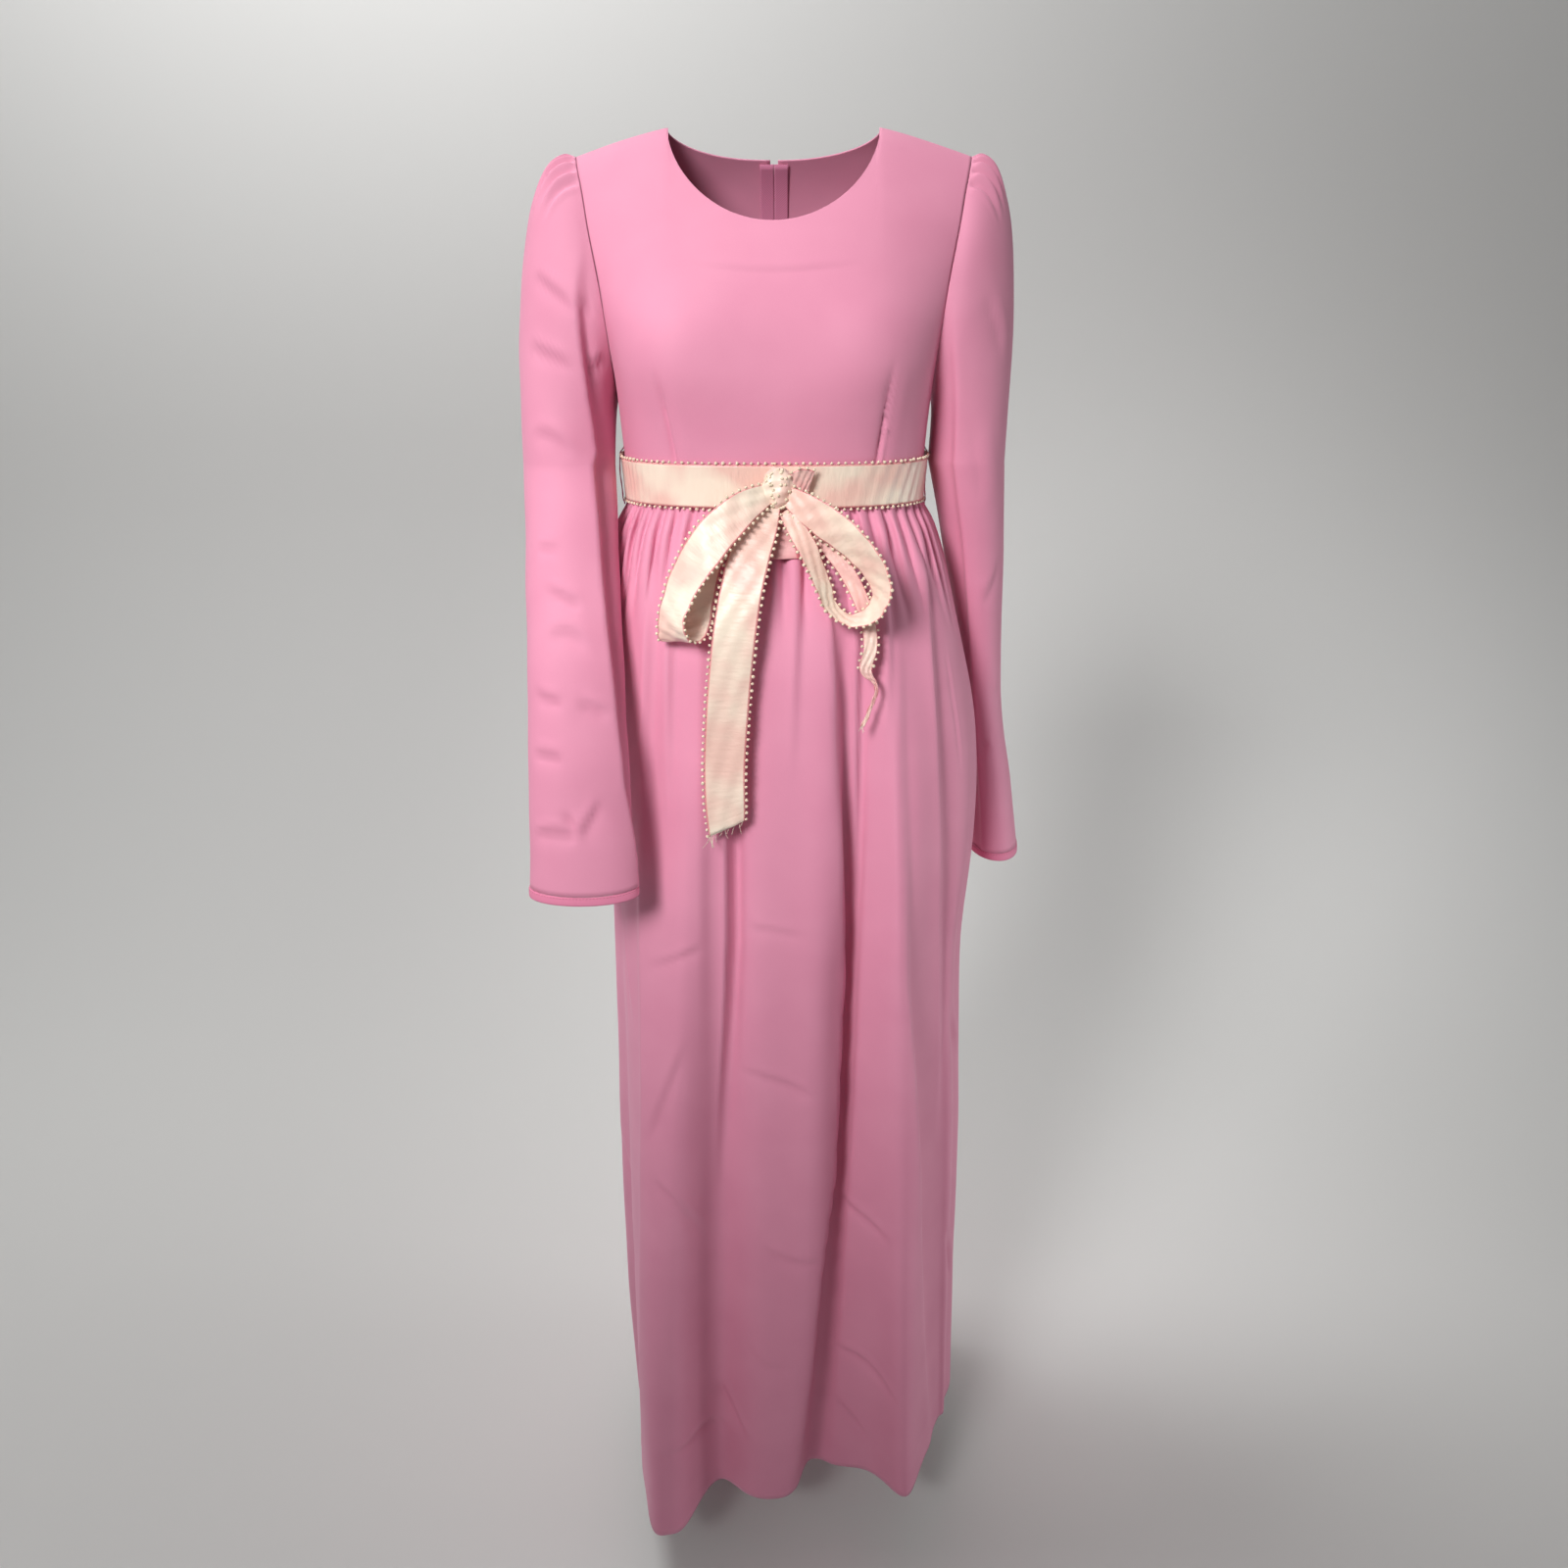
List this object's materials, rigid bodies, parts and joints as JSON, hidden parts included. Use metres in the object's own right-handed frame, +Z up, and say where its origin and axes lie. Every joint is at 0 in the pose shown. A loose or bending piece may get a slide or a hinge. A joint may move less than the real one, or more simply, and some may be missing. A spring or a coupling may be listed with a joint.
{
  "type": "maxi dress",
  "caption": "Long empire-line dress with puffed long sleeves, gathered skirt, back zip and a satin ribbon belt tied in a bow, held as worn.",
  "frame": {"origin": "midway between the points where the shoulder seams meet the neckline, on the line over the wearer's shoulders", "axes": "+Z up along the dress, front faces -Y, +X is the wearer's left"},
  "size_m": [0.4994, 0.4151, 1.3861],
  "materials": {
    "crepe": "pink polyester crepe, matt with a slight sheen",
    "ribbon": "cream and pale pink satin ribbon with picot edges",
    "thread": "twisted sewing thread",
    "zip_tape": "woven zip tape",
    "zip_metal": "plated zinc"
  },
  "bodies": {
    "dress": {"bodice_front": "crepe", "bodice_back_left": "crepe", "bodice_back_right": "crepe", "skirt_front": "crepe", "skirt_back_left": "crepe", "skirt_back_right": "crepe", "sleeve_left": "crepe", "sleeve_right": "crepe", "cuff_hem_left": "crepe", "cuff_hem_right": "crepe", "belt_band": "ribbon", "bow_knot": "ribbon", "bow_loop_left": "ribbon", "bow_loop_right": "ribbon", "bow_tail_long": "ribbon", "bow_tail_narrow": "ribbon", "bow_end_short": "ribbon", "bow_fold": "ribbon", "belt_loop_left": "thread", "belt_loop_right": "thread", "zip_tape": "zip_tape", "zip_slider": "zip_metal"},
    "pull_tab": {"zip_pull_tab": "zip_metal"}
  },
  "joints": [
    {"name": "pull_tab_hinge", "type": "hinge", "parent": "dress", "child": "pull_tab", "pos_m": [0, 0.04698, -0.03383], "axis": [1, 0, 0], "range_deg": [0, 150]}
  ]
}
